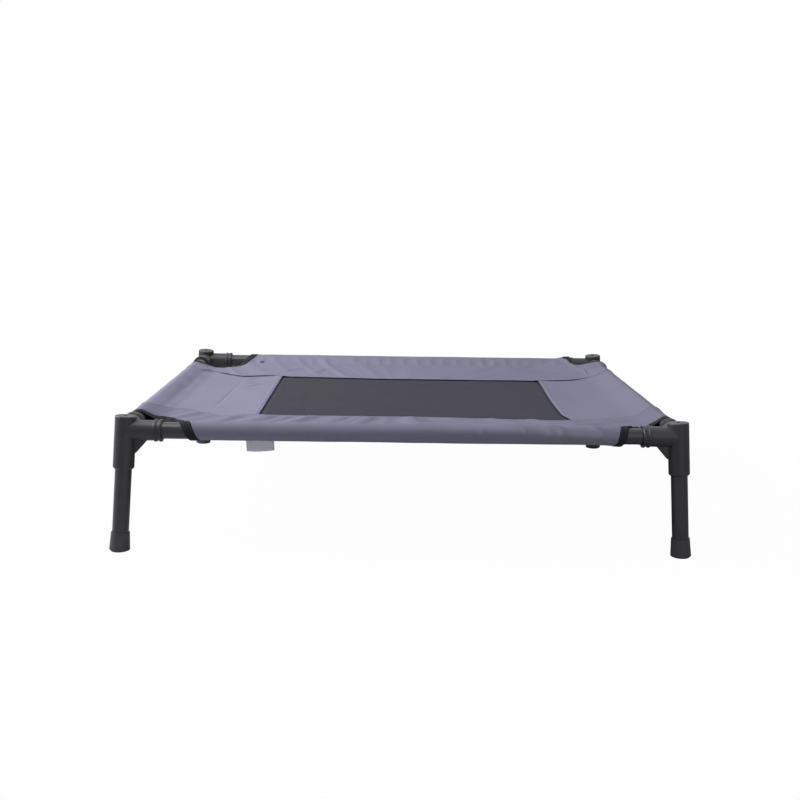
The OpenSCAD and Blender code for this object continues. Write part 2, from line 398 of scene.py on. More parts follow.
# Single folds that show: place on the pattern, turn in degrees, half length, half width and height
FOLDS = (
    # The front sleeve's loose right half, its hanging right end, and the dents on its shoulder
    (0.17, SHOULDER + 0.005, 0, 0.17, 0.007, 0.0016),
    (0.25, SHOULDER - 0.0035, -2, 0.1, 0.005, 0.0036),
    (0.29, -STITCH_Y - BOTTOM_RUN, 0, 0.014, 0.009, 0.0014),
    (0.106, SHOULDER, -60, 0.009, 0.0036, 0.0018),
    (0.164, SHOULDER, -50, 0.01, 0.0034, 0.002),
    (0.172, SHOULDER - 0.002, -60, 0.008, 0.003, 0.0015),
    (0.197, SHOULDER - 0.001, -60, 0.009, 0.0032, 0.0018),
    (0.211, SHOULDER - 0.002, -65, 0.009, 0.0034, 0.0019),
    (0.263, SHOULDER, -40, 0.015, 0.0042, 0.0024),
    # Streaks from the mesh's front right corner towards the fitting
    (0.29, -0.194, 2, 0.036, 0.006, 0.0026),
    (0.272, -0.21, -5, 0.032, 0.006, -0.0044),
    (0.28, -0.236, -4, 0.05, 0.0075, 0.004),
    # Creases of the left panel, and the foot of its pocket
    (-STITCH_X - 0.012, -0.02, 90, 0.15, 0.007, -0.0017),
    (CREASE_U, -0.02, 90 - math.degrees(CREASE_LEAN), 0.11, 0.0008, -0.0006),
    (-0.261, 0.134, 71, 0.022, 0.003, 0.0016),
    (-0.257, 0.094, 56, 0.012, 0.003, 0.0014),
    (-0.25, 0.072, 53, 0.026, 0.0032, 0.0017),
    (-0.249, 0.042, 40, 0.018, 0.0032, 0.0014),
    (-0.277, -0.11, 4, 0.034, 0.004, 0.001),
    # Ridge of the turned edge at the back right, and the short double seam beside it
    (0.321, 0.2425, -71, 0.032, 0.0034, 0.0024),
    (0.333, 0.194, 90, 0.018, 0.0012, -0.0005),
    (0.3355, 0.194, 90, 0.018, 0.0014, 0.0016),
    (0.338, 0.194, 90, 0.018, 0.0012, -0.0005),
    # Pulls on the back strip
    (0.215, 0.222, 20, 0.02, 0.005, 0.001),
    (-0.205, 0.215, 40, 0.03, 0.006, 0.0022),
    (-0.15, 0.21, 60, 0.026, 0.006, 0.002),
)
FOLD_REACH = 4

# Ridges: how far they wander and how their heights differ, each with its rate and its layer of noise
WANDER = 2.2
WANDER_RATE = 11
WANDER_LAYER = 4.1
RIDGE_MEAN = 0.7
RIDGE_SPREAD = 0.9
SPREAD_RATE = 17
SPREAD_LAYER = 0.7

# Streaks of the strips: height, wave, seed and sharpness
STREAKS = ((0.0056, 0.050, 3.1, 4), (0.0026, 0.021, 5.7, 2))
RIGHT_HALF = 0.15
STREAK_SLANT = 0.5
STREAK_RIGHT_SLANT = 0.6
STREAK_TURN = 0.08

# Where the streaks grow, fade and die out: by the seam, on the rail's top and at the strip's ends
STREAK_START = 0.022
STREAK_FADE = 0.05
STREAK_REST = 0.45
STREAK_TOP = 0.016
STREAK_TOP_RAMP = 0.022
STREAK_LATE = 0.016
STREAK_END = 0.02
STREAK_END_RAMP = 0.03
STREAK_END_LOSS = 0.9

# Front streaks weaken towards each end: start, ramp and share lost. Back ones are weak, most at the right
FRONT_LOSSES = {1: (0.23, 0.04, 0.7), -1: (0.17, 0.05, 0.35)}
BACK_HOLD = 0.38
BACK_RIGHT_LOSS = 0.2
BACK_RIGHT_RAMP = 0.1

# Puckers above the pockets' stitch lines: wave and height
LONG_PUCKERS = (0.024, 0.0014)
LEFT_PUCKERS = (0.07, 0.0016)
PUCKER_SEED = 7.7
PUCKER_RUN = 0.012
PUCKER_W = 0.010
PUCKER_REACH = 0.04

# Roll and stitch grooves of a hem
HEM_ROLL = 0.0006
HEM_ROLL_AT = 0.0045
HEM_ROLL_W = 0.0016
HEM_GROOVE = 0.0002
HEM_GROOVE_W = 0.0010
HEM_FOLDS_FROM = -0.001
HEM_FOLDS_TO = 0.016

# Slow waves of all the cloth
WAVE_H = 0.0004
WAVE_RATE_U = 22
WAVE_RATE_V = 30
WAVE_LAYER = 0.3


def single_folds(u, v):
    height = 0.0
    for fold_u, fold_v, turn, length, width, rise in FOLDS:
        away_u, away_v = u - fold_u, v - fold_v
        if abs(away_u) + abs(away_v) > FOLD_REACH * length:
            continue
        c, s = math.cos(math.radians(turn)), math.sin(math.radians(turn))
        along, across = away_u * c + away_v * s, away_v * c - away_u * s
        height += rise * math.exp(-((along / length) ** 2) - (across / width) ** 2)
    return height


def ridges(place, wave, seed, sharp=2):
    """Uneven rounded ridges along a line, from 0 to about 1; a sharp one is narrow for its wave."""
    wander = WANDER * noise.noise(Vector((place * WANDER_RATE, seed, WANDER_LAYER)))
    uneven = RIDGE_MEAN + RIDGE_SPREAD * noise.noise(Vector((place * SPREAD_RATE, seed, SPREAD_LAYER)))
    return max(uneven, 0.0) * (0.5 + 0.5 * math.sin(2 * math.pi * place / wave + wander)) ** sharp


def streak_hold(side, u, v, away):
    """Strength of a strip's streaks so far from its seam; the front rail's right half keeps them longest."""
    hold = ease(away / STREAK_START) * lerp(STREAK_REST, 1, math.exp(-away / STREAK_FADE))
    late = STREAK_LATE * ease(u / RIGHT_HALF) if side < 0 else 0.0
    hold *= 1 - ease((abs(v) - STITCH_Y - TOP_RUN + STREAK_TOP - late) / STREAK_TOP_RAMP)
    hold *= 1 - STREAK_END_LOSS * ease((abs(u) - STITCH_X + STREAK_END) / STREAK_END_RAMP)
    if side > 0:
        return hold * (BACK_HOLD - BACK_RIGHT_LOSS * ease(u / BACK_RIGHT_RAMP))
    for end, (start, ramp, loss) in FRONT_LOSSES.items():
        hold *= 1 - loss * ease((end * u - start) / ramp)
    return hold


def strip_folds(u, v):
    """Streaks drawn up by a strip's seam, which slant towards its ends."""
    side = side_of(v)
    away = abs(v) - abs(seam_v(side, u))
    if away < 0:
        return 0.0
    slant = STREAK_SLANT + STREAK_RIGHT_SLANT * ease(u / RIGHT_HALF)
    place = u - slant * away * math.tanh(u / STREAK_TURN)
    height = sum(rise * ridges(place, wave, side * seed, sharp) for rise, wave, seed, sharp in STREAKS)
    return streak_hold(side, u, v, away) * height


def pocket_folds(u, v):
    """Short puckers above a pocket's stitch line; the right rail's pocket is pulled smooth."""
    height = 0.0
    for run, place, (wave, rise) in ((abs(v) - STITCH_Y, u, LONG_PUCKERS), (-STITCH_X - u, v, LEFT_PUCKERS)):
        if abs(run) < PUCKER_REACH:
            height += rise * ridges(place, wave, PUCKER_SEED) * bump(run - PUCKER_RUN, PUCKER_W)
    return height


def hem_folds(u, v):
    """Shallow grooves at the two rows of stitches of each hem, and the soft roll between them."""
    height = 0.0
    aways = [abs(v) - abs(seam_v(side_of(v), u))]
    if aways[0] < 0:
        aways.append(abs(u) - abs(mesh_edge_u(side_of(u), v)))
    for away in aways:
        if HEM_FOLDS_FROM < away < HEM_FOLDS_TO:
            height += HEM_ROLL * bump(away - HEM_ROLL_AT, HEM_ROLL_W)
            for row in SEAM_ROWS:
                height -= HEM_GROOVE * bump(away - row, HEM_GROOVE_W)
    return height


def folds_at(u, v):
    """Height of the cloth's folds at a place on the pattern."""
    waves = WAVE_H * noise.noise(Vector((u * WAVE_RATE_U, v * WAVE_RATE_V, WAVE_LAYER)))
    sewn = strip_folds(u, v) + pocket_folds(u, v) + hem_folds(u, v)
    return waves + single_folds(u, v) + sewn + CORNERS[side_of(u), side_of(v)].flare_at(u, v)


def cover_point(u, v, lift):
    """Place on the cot of a place on the pattern, lifted off the cover's middle surface."""
    return plain_point(u, v) + cover_axes(u, v)[2] * (lift + folds_at(u, v))


# Cut pieces


class Pattern:
    """A cut piece of cloth: patches of the flat pattern that share the points where they meet."""

    def __init__(self):
        self.numbers = {}
        self.points = []
        self.flat = []
        self.faces = []

    def number(self, u, v, lift):
        key = (round(u, 6), round(v, 6), round(lift, 6))
        if key not in self.numbers:
            self.numbers[key] = len(self.points)
            self.points.append(cover_point(u, v, lift))
            self.flat.append((u, v))
        return self.numbers[key]

    def patch(self, rows):
        """Adds a grid of (u, v, lift) rows."""
        self.faces += quads([[self.number(*place) for place in row] for row in rows])

    def make(self, name, material):
        piece = mesh_piece(name, self.points, self.faces, material, self.flat)
        thicken(piece, CLOTH_T)
        return piece


class Stitching:
    """Rows of single stitches, each a short grain of thread lying on the cloth."""

    def __init__(self):
        self.points = []
        self.faces = []

    def row(self, places, lift=PANEL_LIFT, strip=0):
        """Stitches along a line of places, on a layer's lift or on that of a side's strip."""
        spare = STITCH_PITCH / 2
        for (u0, v0), (u1, v1) in zip(places, places[1:]):
            size = math.hypot(u1 - u0, v1 - v0)
            way = ((u1 - u0) / size, (v1 - v0) / size)
            while spare < size:
                u, v = u0 + way[0] * spare, v0 + way[1] * spare
                self.stitch(u, v, way, strip_lift(strip, u, v) if strip else lift)
                spare += STITCH_PITCH
            spare -= size

    def stitch(self, u, v, way, lift):
        along_u, along_v, normal = cover_axes(u, v)
        along = (along_u * way[0] + along_v * way[1]).normalized()
        across = normal.cross(along)
        middle_point = cover_point(u, v, lift + CLOTH_T / 2)
        first = len(self.points)
        for share in STITCH_RINGS:
            size = math.sqrt(1 - share**2)
            for i in range(STITCH_SIDES):
                turn = 2 * math.pi * i / STITCH_SIDES
                out = across * (math.cos(turn) * STITCH_W / 2) + normal * (math.sin(turn) * STITCH_H / 2)
                self.points.append(middle_point + along * (share * STITCH_L / 2) + out * size)
        starts = range(first, len(self.points), STITCH_SIDES)
        self.faces += quads([[at + i % STITCH_SIDES for i in range(STITCH_SIDES + 1)] for at in starts])
        self.faces.append(tuple(starts[0] + i for i in reversed(range(STITCH_SIDES))))
        self.faces.append(tuple(starts[-1] + i for i in range(STITCH_SIDES)))

    def make(self, name, material, slot):
        piece = mesh_piece(name, self.points, self.faces, material)
        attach(piece, "frame")
        return piece


def in_scene(name, data):
    thing = bpy.data.objects.new(name, data)
    bpy.context.scene.collection.objects.link(thing)
    return thing


def mesh_piece(name, points, faces, material, flat=None):
    """A smooth mesh in the scene, with its flat pattern as UVs if it has one."""
    mesh = bpy.data.meshes.new(name)
    mesh.from_pydata(points, [], faces)
    if flat:
        layer = mesh.uv_layers.new(name="flat")
        for loop in mesh.loops:
            layer.data[loop.index].uv = flat[loop.vertex_index]
    mesh.materials.append(material)
    turned = bmesh.new()
    turned.from_mesh(mesh)
    bmesh.ops.recalc_face_normals(turned, faces=turned.faces)
    turned.to_mesh(mesh)
    turned.free()
    mesh.shade_smooth()
    return in_scene(name, mesh)


def thicken(piece, thickness):
    solid = piece.modifiers.new("cloth thickness", "SOLIDIFY")
    solid.thickness = thickness
    solid.offset = 0


# Materials

# Unevenness of the cloths and of the moulded finishes
TINT_RANGE = 0.25
CLOTH_SLOW = 9.0
CLOTH_FINE = 420.0
CLOTH_TINT = 0.035
CLOTH_ROUGH_SPREAD = 0.15
THREAD_LIGHT = 1.6
WEAVE_BUMP = 0.35
SHEEN_ROUGH = 0.5
MOULD_SLOW = 28.0
MOULD_TINT = 0.12
MOULD_ROUGH_SPREAD = 0.25
GRAIN_BUMP = 0.4


class Nodes:
    """A node tree with one short call to add a node, set it and join it."""

    def __init__(self, tree):
        self.tree = tree
        tree.nodes.clear()

    def add(self, kind, inputs=None, **settings):
        node = self.tree.nodes.new(kind)
        for name, value in settings.items():
            setattr(node, name, value)
        for name, value in (inputs or {}).items():
            if isinstance(value, bpy.types.NodeSocket):
                self.tree.links.new(value, node.inputs[name])
            else:
                node.inputs[name].default_value = value
        return node

    def math(self, operation, first, second=0.0):
        return self.add("ShaderNodeMath", {0: first, 1: second}, operation=operation).outputs[0]

    def mix(self, share, first, second):
        return self.add("ShaderNodeMix", {0: share, 6: first, 7: second}, data_type="RGBA").outputs[2]

    def group(self, tree, **inputs):
        return self.add("ShaderNodeGroup", inputs, node_tree=tree).outputs

    def moved(self, value, start, end, low=0.0, high=1.0):
        """A value moved from one range to another, and kept inside it."""
        return self.add("ShaderNodeMapRange", {0: value, 1: start, 2: end, 3: low, 4: high}).outputs[0]


def new_group(name, place, inputs, outputs):
    """A node group with one vector going in, and values going in and out."""
    tree = bpy.data.node_groups.new(name, "ShaderNodeTree")
    tree.interface.new_socket(place, in_out="INPUT", socket_type="NodeSocketVector")
    for way, sockets in (("INPUT", inputs), ("OUTPUT", outputs)):
        for socket in sockets:
            tree.interface.new_socket(socket, in_out=way, socket_type="NodeSocketFloat")
    nodes = Nodes(tree)
    return nodes, nodes.add("NodeGroupInput").outputs


def weave_group():
    """A plain weave of two sets of threads over a flat pattern: the height of the thread on top."""
    nodes, given = new_group("plain_weave", "Flat", ("Threads", "Ratio"), ("Height",))
    split = nodes.add("ShaderNodeSeparateXYZ", {"Vector": given["Flat"]})
    along = nodes.math("MULTIPLY", split.outputs["X"], given["Threads"])
    across = nodes.math("MULTIPLY", split.outputs["Y"], given["Threads"])
    across = nodes.math("MULTIPLY", across, given["Ratio"])
    waves = [nodes.math("SINE", nodes.math("MULTIPLY", run, math.pi)) for run in (along, across)]
    over = nodes.math("GREATER_THAN", nodes.math("MULTIPLY", *waves), 0.0)
    warp, weft = (nodes.math("ABSOLUTE", wave) for wave in waves)
    height = nodes.add("ShaderNodeMix", {0: over, 2: weft, 3: warp}, data_type="FLOAT").outputs[0]
    nodes.add("NodeGroupOutput", {"Height": height})
    return nodes.tree


def mottle_group():
    """Slow and fine unevenness of a finish, as a value round zero."""
    nodes, given = new_group("mottle", "Place", ("Slow", "Fine"), ("Slow", "Fine"))
    found = {}
    for name, detail in (("Slow", 3.0), ("Fine", 5.0)):
        cloud = nodes.add(
            "ShaderNodeTexNoise", {"Vector": given["Place"], "Scale": given[name], "Detail": detail}
        )
        found[name] = nodes.math("SUBTRACT", cloud.outputs["Fac"], 0.5)
    nodes.add("NodeGroupOutput", found)
    return nodes.tree


WEAVE = weave_group()
MOTTLE = mottle_group()


def new_material(name):
    material = bpy.data.materials.new(name)
    material.use_nodes = True
    return material, Nodes(material.node_tree)


def tinted(nodes, value, colour, spread):
    """A colour that grows lighter and darker with a value round zero."""
    dark = tuple(c * (1 - spread) for c in colour) + (1.0,)
    light = tuple(c * (1 + spread) for c in colour) + (1.0,)
    return nodes.mix(nodes.moved(value, -TINT_RANGE, TINT_RANGE), dark, light)


def finish_material(nodes, colour, rough, relief, specular, sheen=0.0):
    """Joins up a surface: rough is (value, spread, mean), and relief is (height, strength, depth)."""
    value, spread, mean = rough
    height, strength, depth = relief
    raised = nodes.add("ShaderNodeBump", {"Height": height, "Strength": strength, "Distance": depth})
    surface = nodes.add(
        "ShaderNodeBsdfPrincipled",
        {
            "Base Color": colour,
            "Roughness": nodes.math("ADD", nodes.math("MULTIPLY", value, spread), mean),
            "Normal": raised.outputs["Normal"],
            "Sheen Weight": sheen,
            "Sheen Roughness": SHEEN_ROUGH,
            "Specular IOR Level": specular,
        },
    )
    nodes.add("ShaderNodeOutputMaterial", {"Surface": surface.outputs["BSDF"]})


def cloth_material(name, colour, threads, ratio, roughness, contrast, depth, specular, sheen=0.0):
    """Woven cloth: so many threads to a metre, lit up and raised by its weave."""
    material, nodes = new_material(name)
    flat = nodes.add("ShaderNodeUVMap", uv_map="flat").outputs["UV"]
    height = nodes.group(WEAVE, Flat=flat, Threads=threads, Ratio=ratio)["Height"]
    mottle = nodes.group(MOTTLE, Place=flat, Slow=CLOTH_SLOW, Fine=CLOTH_FINE)
    base = tinted(nodes, mottle["Slow"], colour, CLOTH_TINT)
    lit = tuple(min(1.0, c * THREAD_LIGHT) for c in colour) + (1.0,)
    woven = nodes.mix(nodes.math("MULTIPLY", height, contrast), base, lit)
    rough = (mottle["Fine"], CLOTH_ROUGH_SPREAD, roughness)
    finish_material(nodes, woven, rough, (height, WEAVE_BUMP, depth), specular, sheen)
    return material


def moulded_material(name, colour, roughness, specular, grain, depth):
    """Moulded plastic, rubber, paint or thread: an even colour with a fine grain."""
    material, nodes = new_material(name)
    place = nodes.add("ShaderNodeTexCoord").outputs["Object"]
    mottle = nodes.group(MOTTLE, Place=place, Slow=MOULD_SLOW, Fine=grain)
    base = tinted(nodes, mottle["Slow"], colour, MOULD_TINT)
    rough = (mottle["Slow"], MOULD_ROUGH_SPREAD, roughness)
    finish_material(nodes, base, rough, (mottle["Fine"], GRAIN_BUMP, depth), specular)
    return material


COVER_COLOUR = (0.250, 0.243, 0.334)
# Darker copies of the one cover cloth for some pieces: painted shade, standing in for the light that falls
# less on those pieces
COVER_PAINTED_SHADES = {"left_end_panel": 1.0, "right_end_panel": 0.95, "front_strip": 0.84, "back_strip": 0.95}
COVER_CLOTHS = {}
# Each piece gets its own cloth, darkened by its painted shade
for cover_name, painted_shade in COVER_PAINTED_SHADES.items():
    COVER_CLOTHS[cover_name] = cloth_material(
        cover_name + "_cloth", tuple(painted_shade * level for level in COVER_COLOUR), threads=1500.0, ratio=1.0,
        roughness=0.75, contrast=0.12, depth=0.0002, specular=0.06,
    )
MESH_CLOTH = cloth_material(
    "mesh_cloth", (0.0268, 0.0250, 0.0366), threads=700.0, ratio=0.75,
    roughness=0.7, contrast=0.30, depth=0.0004, specular=0.15,
)
EDGING_TAPE = cloth_material(
    "edging_tape", (0.020, 0.0192, 0.023), threads=1100.0, ratio=0.5,
    roughness=0.7, contrast=0.2, depth=0.0002, specular=0.07,
)
LABEL_CLOTH = cloth_material(
    "label_cloth", (0.80, 0.77, 0.90), threads=2500.0, ratio=1.0,
    roughness=0.5, contrast=0.1, depth=0.0001, specular=0.3, sheen=0.1,
)
THREAD = {"grain": 3000.0, "depth": 0.0001}
COVER_THREAD = moulded_material("cover_thread", (0.21, 0.20, 0.29), roughness=0.5, specular=0.4, **THREAD)
TAPE_THREAD = moulded_material("tape_thread", (0.05, 0.048, 0.056), roughness=0.5, specular=0.4, **THREAD)
TACK_THREAD = moulded_material("tack_thread", (0.008, 0.008, 0.010), roughness=0.6, specular=0.2, **THREAD)
FITTING_PLASTIC = moulded_material(
    "fitting_plastic", (0.0220, 0.0212, 0.0262), roughness=0.48, specular=0.55, grain=900.0, depth=0.00006
)
TUBE_STEEL = moulded_material(
    "tube_steel", (0.0275, 0.0264, 0.0325), roughness=0.38, specular=0.55, grain=500.0, depth=0.00006
)
FOOT_RUBBER = moulded_material(
    "foot_rubber", (0.0535, 0.0515, 0.0620), roughness=0.6, specular=0.42, grain=1200.0, depth=0.00015
)


# Frame


def dress_frame():
    finishes = {"corner": FITTING_PLASTIC, "rail": TUBE_STEEL, "leg": TUBE_STEEL, "foot": FOOT_RUBBER}
    for name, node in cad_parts.items():
        finish = finishes.get(name.rsplit("_", 1)[-1])
        if finish:
            node.data.materials.clear()
            node.data.materials.append(finish)


# Cover

SLEEVE_RUNS = (
    filled((RAIL_STEPS, (FLANK,)))
    + stations(FLANK, FLANK + WRAP, WRAP_CELL)[1:]
    + stations(FLANK + WRAP, ROUND)[1:]
    + stations(ROUND, ROUND + HEM_W)[1:]
)
STRIP_DEPTHS = filled((HEM_STEPS, [STITCH_Y - MESH_HIGH.y - step for step in reversed(RAIL_STEPS)]))


def strip_lift(side, u, v):
    """A strip lies on the mesh or an end panel at its seam, and comes down beside the panel's edge."""
    lap = LAYER * (2 - ease((abs(u) - HEM_END) / LAP_RAMP)) * ease((past_mesh(u) + LAP_RAMP) / LAP_RAMP)
    ramp = lerp(LAP_RAMP, RAIL_LAP_RAMP, ease((abs(u) - STITCH_X) / FLANK))
    return PANEL_LIFT + lap * (1 - ease((abs(v - seam_v(side, u)) - LAP_FLAT) / ramp))


def hang_at(inside):
    """Share of a cloth's hang, so far inside the edge that is sewn on it."""
    return ease((inside + HANG_START) / HANG_RAMP) * (1 - ease(inside / HANG_W))


def panel_lift(u, v):
    """An end panel hangs under the back strip's edge, between the mesh and the hem of its own sleeve."""
    hang = PANEL_HANG * hang_at(seam_v(1, u) - v)
    return PANEL_LIFT - hang * ease((past_mesh(u) - LAP_W) / LAP_RAMP) * ease((HEM_END - abs(u)) / LAP_RAMP)


def mesh_lift(u, v):
    """The mesh hangs a little under the edges that it is sewn to."""
    to_panel = abs(mesh_edge_u(side_of(u), v)) - abs(u)
    to_strip = abs(seam_v(side_of(v), u)) - abs(v)
    return MESH_LIFT - MESH_HANG * hang_at(min(to_panel, to_strip))


def hem_rows(edge, inwards):
    """Rows of a turned hem along an edge of (u, v, lift): over the fold and back under the cloth."""
    fold = LAYER / 2
    steps = [(0, 0), (-fold, fold)] + [(HEM_W * i / HEM_CELLS, LAYER) for i in range(HEM_CELLS + 1)]
    return [
        [(u + inwards[0] * back, v + inwards[1] * back, lift - down) for u, v, lift in edge]
        for back, down in steps
    ]


def sew_on(piece, node):
    """A piece of the cover rides on the frame and stands for its solid."""
    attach(piece, "frame")
    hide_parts(node)


def between_seams(u, share):
    """Place so far from the front seam's lap to the back seam's."""
    return lerp(seam_v(-1, u) - LAP_W, seam_v(1, u) + LAP_W, share)


def panel_line(side, v):
    """Blocks of close columns across an end panel, from its sleeve to its edge on the mesh."""
    edge = mesh_edge_u(side, v)
    blocks = [[side * (STITCH_X - step) for step in RAIL_STEPS]]
    if side < 0:
        blocks.append([CREASE_U + CREASE_LEAN * v + step for step in CREASE_STEPS])
    blocks.append([edge + side * step for step in reversed(HEM_STEPS)])
    return blocks


def make_end_panel(name, side):
    """The cloth between the strips at one end of the mesh, with its sleeve round the side rail."""
    cloth = Pattern()
    sleeve = [side * (STITCH_X + run) for run in reversed(SLEEVE_RUNS[1:])]
    counts = fill_counts(panel_line(side, 0))
    mesh_u = MESH_LOW.x if side < 0 else MESH_HIGH.x
    rows = []
    for share in stations(0, 1, CELL / (2 * MESH_HIGH.y)):
        columns = sleeve + filled(panel_line(side, between_seams(mesh_u, share)), counts)
        places = [(u, between_seams(u, share)) for u in columns]
        rows.append([(u, v, panel_lift(u, v)) for u, v in places])
    edge = [row[-1] for row in rows]
    cloth.patch(rows)
    cloth.patch(hem_rows(edge, (side, 0)))
    piece = cloth.make(name + "_cloth", COVER_CLOTHS[name])
    sew_on(piece, name)
    stitching = Stitching()
    for back in SEAM_ROWS:
        stitching.row([(u + side * back, v) for u, v, _ in edge])
    if side < 0:
        pocket = stations(seam_v(-1, -STITCH_X), seam_v(1, -STITCH_X))
        stitching.row([(-STITCH_X, v) for v in pocket])
    threads = stitching.make(name + "_stitching", COVER_THREAD, "cover_cloth")


def strip_side(corner):
    """Places down one side of a strip, along the side rail's stitch line and round the cut-out.

    It also gives the number of the place where the cut-out starts.
    """
    start_u, start_v = corner.side_place(0)
    side, seam = corner.side_y, seam_v(corner.side_y, start_u)
    places = [(start_u, seam + side * step) for step in HEM_STEPS]
    hem_v = places[-1][1]
    count = len(STRIP_DEPTHS) - len(HEM_STEPS)
    straight = abs(start_v - hem_v)
    arc = corner.reach * (math.pi / 2 - 2 * math.asin(POCKET_W / corner.reach))
    straight_count = min(round(count * straight / (straight + arc)), count - MIN_ARC_CELLS)
    places += [(start_u, lerp(hem_v, start_v, i / straight_count)) for i in range(1, straight_count)]
    arc_count = count - straight_count
    places += [corner.arc_place(i / arc_count) for i in range(arc_count + 1)]
    return places, LAST_HEM_ROW + straight_count


class StripPlan:
    """Lines on the pattern that a strip is laid out on: its seam, its rail's stitch line and its sides."""

    def __init__(self, side):
        self.side = side
        self.corners = (CORNERS[-1, side], CORNERS[1, side])
        self.sides = [strip_side(corner) for corner in self.corners]
        self.shares = stations(0, 1, CELL / (2 * STITCH_X))
        columns = [lerp(-STITCH_X, STITCH_X, share) for share in self.shares]
        self.seam = [(u, seam_v(side, u)) for u in columns]
        self.hem = [(u, v + side * HEM_DEPTH) for u, v in self.seam]
        left_u, right_u = (places[-1][0] for places, _ in self.sides)
        self.rail = [(lerp(left_u, right_u, share), side * STITCH_Y) for share in self.shares]

    def bed_place(self, i, j):
        """Place in column i from the left and row j from the seam, drawn to the edges of the cut-outs."""
        if j <= LAST_HEM_ROW:
            place = [self.seam[i][0], self.seam[i][1] + self.side * STRIP_DEPTHS[j]]
        else:
            share = (STRIP_DEPTHS[j] - HEM_DEPTH) / (STRIP_DEPTHS[-1] - HEM_DEPTH)
            place = [lerp(self.hem[i][k], self.rail[i][k], share) for k in (0, 1)]
            aways = (self.shares[i], 1 - self.shares[i])
            for end, (edge, _), away in zip((0, -1), self.sides, aways):
                pull = 1 - ease(away * 2 * STITCH_X / END_BLEND)
                for k in (0, 1):
                    place[k] += pull * (edge[j][k] - lerp(self.hem[end][k], self.rail[end][k], share))
        return place[0], place[1], strip_lift(self.side, *place)

    def bed_rows(self):
        return [[self.bed_place(i, j) for i in range(len(self.shares))] for j in range(len(STRIP_DEPTHS))]

    def sleeve_rows(self):
        """Rows round the long rail, each from cuff to cuff."""
        rows = []
        for run in SLEEVE_RUNS:
            left_u, right_u = (corner.long_place(run)[0] for corner in self.corners)
            v = self.side * (STITCH_Y + run)
            rows.append([(lerp(left_u, right_u, share), v, PANEL_LIFT) for share in self.shares])
        return rows

    def end_rows(self, corner, places, straight):
        """Rows round a side rail, each from the seam to the cuff."""
        depths = [abs(v - places[0][1]) for _, v in places[: straight + 1]]
        shares = [(depth - HEM_DEPTH) / (depths[-1] - HEM_DEPTH) for depth in depths[len(HEM_STEPS) :]]
        rows = []
        for run in SLEEVE_RUNS:
            u, end_v = corner.side_place(run)
            hem = [seam_v(self.side, u) + self.side * step for step in HEM_STEPS]
            columns = hem + [lerp(hem[-1], end_v, share) for share in shares]
            rows.append([(u, v, strip_lift(self.side, u, v)) for v in columns])
        return rows


def sew_strip(name, plan, edge):
    """Stitches along a strip's seam, along its rail, and where its ends meet the side rails."""
    stitching = Stitching()
    seen = [place for place in edge if abs(place[0]) < STITCH_X + BOTTOM_RUN]
    for back in SEAM_ROWS:
        stitching.row([(u, v + plan.side * back) for u, v, _ in seen], strip=plan.side)
    stitching.row(plan.rail)
    for corner in plan.corners:
        start_u, end_v = corner.side_place(0)
        columns = stations(seam_v(plan.side, start_u), end_v)
        for apart in END_ROWS:
            stitching.row([(corner.side_x * (STITCH_X + apart), v) for v in columns], strip=plan.side)
    return stitching.make(name + "_stitching", COVER_THREAD, "cover_cloth")


def make_bar_tack():
    """Dense dark stitches that end the back pocket's seam: along the stitch line, then up the flank."""
    tack = Stitching()
    for i in range(TACK_BARS):
        u, start = TACK_U + TACK_BAR_PITCH * i, STITCH_Y + STITCH_PITCH * (i % 2) / 2
        tack.row([(u, start), (u, start + TACK_BAR_STITCHES * STITCH_PITCH)])
    for i in range(TACK_TAIL_STITCHES):
        v = STITCH_Y + STITCH_PITCH * i
        tack.row([(TACK_U, v), (TACK_U, v + STITCH_PITCH)])
    return tack.make("back_strip_bar_tack", TACK_THREAD, "cover_cloth")


def make_strip(name, side, tapes):
    """A long strip of the cover, with its sleeve round the long rail and its ends round the side rails."""
    plan = StripPlan(side)
    cloth = Pattern()
    cloth.patch(plan.bed_rows())
    cloth.patch(plan.sleeve_rows())
    edge = [(u, v, strip_lift(side, u, v)) for u, v in plan.seam]
    for corner, (places, straight) in zip(plan.corners, plan.sides):
        rows = plan.end_rows(corner, places, straight)
        cloth.patch(rows)
        beyond = [row[0] for row in rows[1:]]
        edge = beyond[::-1] + edge if corner.side_x < 0 else edge + beyond
    cloth.patch(hem_rows([place for place in edge if abs(place[0]) < HEM_END], (0, side)))
    piece = cloth.make(name + "_cloth", COVER_CLOTHS[name])
    sew_on(piece, name)
    if side > 0:
        tapes = tapes + [make_bar_tack()]
    threads = sew_strip(name, plan, edge)


def make_mesh_panel():
    """The open-weave panel, with its edges under the panels and strips."""
    cloth = Pattern()
    columns = stations(MESH_LOW.x - LAP_W, MESH_HIGH.x + LAP_W)
    rows = []
    for share in stations(0, 1, CELL / (2 * MESH_HIGH.y)):
        places = [(u, between_seams(u, share)) for u in columns]
        rows.append([(u, v, mesh_lift(u, v)) for u, v in places])
    cloth.patch(rows)
    piece = cloth.make("mesh_panel_cloth", MESH_CLOTH)
    sew_on(piece, "mesh_panel")


def tape_path(corner):
    """Places along a cut-out's edge, from under the side rail round to under the long rail."""
    runs = [run for run in SLEEVE_RUNS if run <= ROUND]
    path = [corner.side_place(run) for run in reversed(runs)]
    count = round(corner.reach / CELL)
    path += [corner.arc_place(i / count) for i in range(1, count)]
    path += [corner.long_place(run) for run in runs]
    return path


def path_inwards(path, corner):
    """Unit directions on the pattern from a cut-out's edge into the cloth."""
    found = []
    turn = corner.side_x * corner.side_y
    for i in range(len(path)):
        before, after = path[max(i - TURN_SPAN, 0)], path[min(i + TURN_SPAN, len(path) - 1)]
        run_u, run_v = after[0] - before[0], after[1] - before[1]
        size = math.hypot(run_u, run_v)
        found.append((-turn * run_v / size, turn * run_u / size))
    return found


